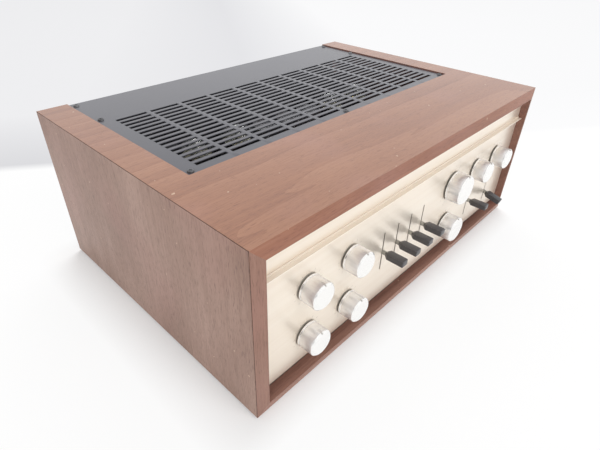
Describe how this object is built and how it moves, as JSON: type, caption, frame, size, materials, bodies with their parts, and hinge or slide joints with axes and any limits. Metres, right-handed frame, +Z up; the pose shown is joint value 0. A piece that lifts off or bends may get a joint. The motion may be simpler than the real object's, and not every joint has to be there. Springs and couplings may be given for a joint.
{
  "type": "valve integrated amplifier",
  "caption": "Integrated valve amplifier in a wooden sleeve with a satin metal front, turned knobs, lever switches and a slotted vent cover.",
  "frame": {"origin": "on the floor under the middle of the whole part's box, from the lever tips to the back of the case", "axes": "+X to the right as seen from the front, -Y towards the listener, +Z up"},
  "size_m": [0.475, 0.348, 0.178],
  "materials": {
    "top_veneer": "satin walnut veneer, grain along the width",
    "side_veneer": "satin walnut veneer, upright grain",
    "foot_rubber": "matt black",
    "screw_steel": "zinc plated",
    "screw_dark": "blackened steel",
    "cover_paint": "satin dark grey enamel",
    "panel_metal": "champagne anodised, brushed along the width",
    "rail_metal": "champagne anodised",
    "chassis_steel": "zinc plated sheet",
    "pot_metal": "plain",
    "switch_laminate": "phenolic laminate",
    "rear_paint": "satin grey enamel",
    "iron_paint": "black enamel",
    "socket_ceramic": "unglazed",
    "valve_glass": "clear, silvered inside the top",
    "can_metal": "plain drawn can",
    "board_laminate": "phenolic laminate",
    "black_moulding": "satin moulding",
    "knob_metal": "turned, fine lines along the grip",
    "shaft_steel": "plain",
    "paddle_plastic": "satin black"
  },
  "bodies": {
    "amplifier": {"case_top": "top_veneer", "case_left_side": "side_veneer", "case_right_side": "side_veneer", "case_bottom": "side_veneer", "feet": "foot_rubber", "foot_screws": "screw_steel", "vent_cover": "cover_paint", "small_screws": "screw_dark", "front_panel": "panel_metal", "panel_rail": "rail_metal", "control_plate": "chassis_steel", "control_nuts": "screw_steel", "potentiometers": "pot_metal", "rotary_switches": "switch_laminate", "lever_brackets": "chassis_steel", "lever_pins": "screw_steel", "lever_contacts": "switch_laminate", "chassis": "chassis_steel", "rear_panel": "rear_paint", "power_transformer": "iron_paint", "output_transformers": "iron_paint", "valve_sockets": "socket_ceramic", "power_valves": "valve_glass", "small_valves": "valve_glass", "capacitor_cans": "can_metal", "circuit_board": "board_laminate", "signal_jacks": "black_moulding", "speaker_terminals": "black_moulding", "fuse_holder": "black_moulding", "mains_outlets": "black_moulding", "mains_gland": "black_moulding"},
    "bass_left_control": {"bass_left_knob": "knob_metal", "bass_left_shaft": "shaft_steel"},
    "treble_left_control": {"treble_left_knob": "knob_metal", "treble_left_shaft": "shaft_steel"},
    "bass_right_control": {"bass_right_knob": "knob_metal", "bass_right_shaft": "shaft_steel"},
    "treble_right_control": {"treble_right_knob": "knob_metal", "treble_right_shaft": "shaft_steel"},
    "volume_control": {"volume_knob": "knob_metal", "volume_shaft": "shaft_steel"},
    "balance_control": {"balance_knob": "knob_metal", "balance_shaft": "shaft_steel"},
    "mode_control": {"mode_knob": "knob_metal", "mode_shaft": "shaft_steel"},
    "source_control": {"source_knob": "knob_metal", "source_shaft": "shaft_steel"},
    "low_filter_lever": {"low_filter_arm": "shaft_steel", "low_filter_paddle": "paddle_plastic"},
    "high_filter_lever": {"high_filter_arm": "shaft_steel", "high_filter_paddle": "paddle_plastic"},
    "tape_lever": {"tape_arm": "shaft_steel", "tape_paddle": "paddle_plastic"},
    "tone_defeat_lever": {"tone_defeat_arm": "shaft_steel", "tone_defeat_paddle": "paddle_plastic"},
    "speaker_lever": {"speaker_arm": "shaft_steel", "speaker_paddle": "paddle_plastic"},
    "power_lever": {"power_arm": "shaft_steel", "power_paddle": "paddle_plastic"},
    "fuse": {"fuse_cap": "black_moulding"}
  },
  "joints": [
    {"name": "bass_left_turn", "type": "hinge", "parent": "amplifier", "child": "bass_left_control", "pos_m": [-0.1728, -0.1488, 0.1038], "axis": [0, 1, 0], "range_deg": [-140, 140]},
    {"name": "treble_left_turn", "type": "hinge", "parent": "amplifier", "child": "treble_left_control", "pos_m": [-0.1728, -0.1488, 0.0504], "axis": [0, 1, 0], "range_deg": [-140, 140]},
    {"name": "bass_right_turn", "type": "hinge", "parent": "amplifier", "child": "bass_right_control", "pos_m": [-0.1182, -0.1488, 0.1038], "axis": [0, 1, 0], "range_deg": [-140, 140]},
    {"name": "treble_right_turn", "type": "hinge", "parent": "amplifier", "child": "treble_right_control", "pos_m": [-0.1182, -0.1488, 0.0504], "axis": [0, 1, 0], "range_deg": [-140, 140]},
    {"name": "volume_turn", "type": "hinge", "parent": "amplifier", "child": "volume_control", "pos_m": [0.0655, -0.1488, 0.1028], "axis": [0, 1, 0], "range_deg": [-150, 150]},
    {"name": "balance_turn", "type": "hinge", "parent": "amplifier", "child": "balance_control", "pos_m": [0.0655, -0.1488, 0.0504], "axis": [0, 1, 0], "range_deg": [-150, 150]},
    {"name": "mode_turn", "type": "hinge", "parent": "amplifier", "child": "mode_control", "pos_m": [0.1226, -0.1488, 0.1038], "axis": [0, 1, 0], "range_deg": [-60, 60]},
    {"name": "source_turn", "type": "hinge", "parent": "amplifier", "child": "source_control", "pos_m": [0.176, -0.1488, 0.1038], "axis": [0, 1, 0], "range_deg": [-60, 90]},
    {"name": "low_filter_tilt", "type": "hinge", "parent": "amplifier", "child": "low_filter_lever", "pos_m": [-0.065, -0.114, 0.08], "axis": [1, 0, 0], "range_deg": [-22, 22]},
    {"name": "high_filter_tilt", "type": "hinge", "parent": "amplifier", "child": "high_filter_lever", "pos_m": [-0.0412, -0.114, 0.08], "axis": [1, 0, 0], "range_deg": [-22, 22]},
    {"name": "tape_tilt", "type": "hinge", "parent": "amplifier", "child": "tape_lever", "pos_m": [-0.0174, -0.114, 0.08], "axis": [1, 0, 0], "range_deg": [-22, 22]},
    {"name": "tone_defeat_tilt", "type": "hinge", "parent": "amplifier", "child": "tone_defeat_lever", "pos_m": [0.0064, -0.114, 0.08], "axis": [1, 0, 0], "range_deg": [-22, 22]},
    {"name": "speaker_tilt", "type": "hinge", "parent": "amplifier", "child": "speaker_lever", "pos_m": [0.1226, -0.114, 0.06], "axis": [1, 0, 0], "range_deg": [-22, 22]},
    {"name": "power_tilt", "type": "hinge", "parent": "amplifier", "child": "power_lever", "pos_m": [0.176, -0.114, 0.06], "axis": [1, 0, 0], "range_deg": [-37.5, 6.5]},
    {"name": "fuse_turn", "type": "hinge", "parent": "amplifier", "child": "fuse", "pos_m": [0.19, 0.164, 0.12], "axis": [0, 1, 0], "range_deg": [0, 60]}
  ]
}
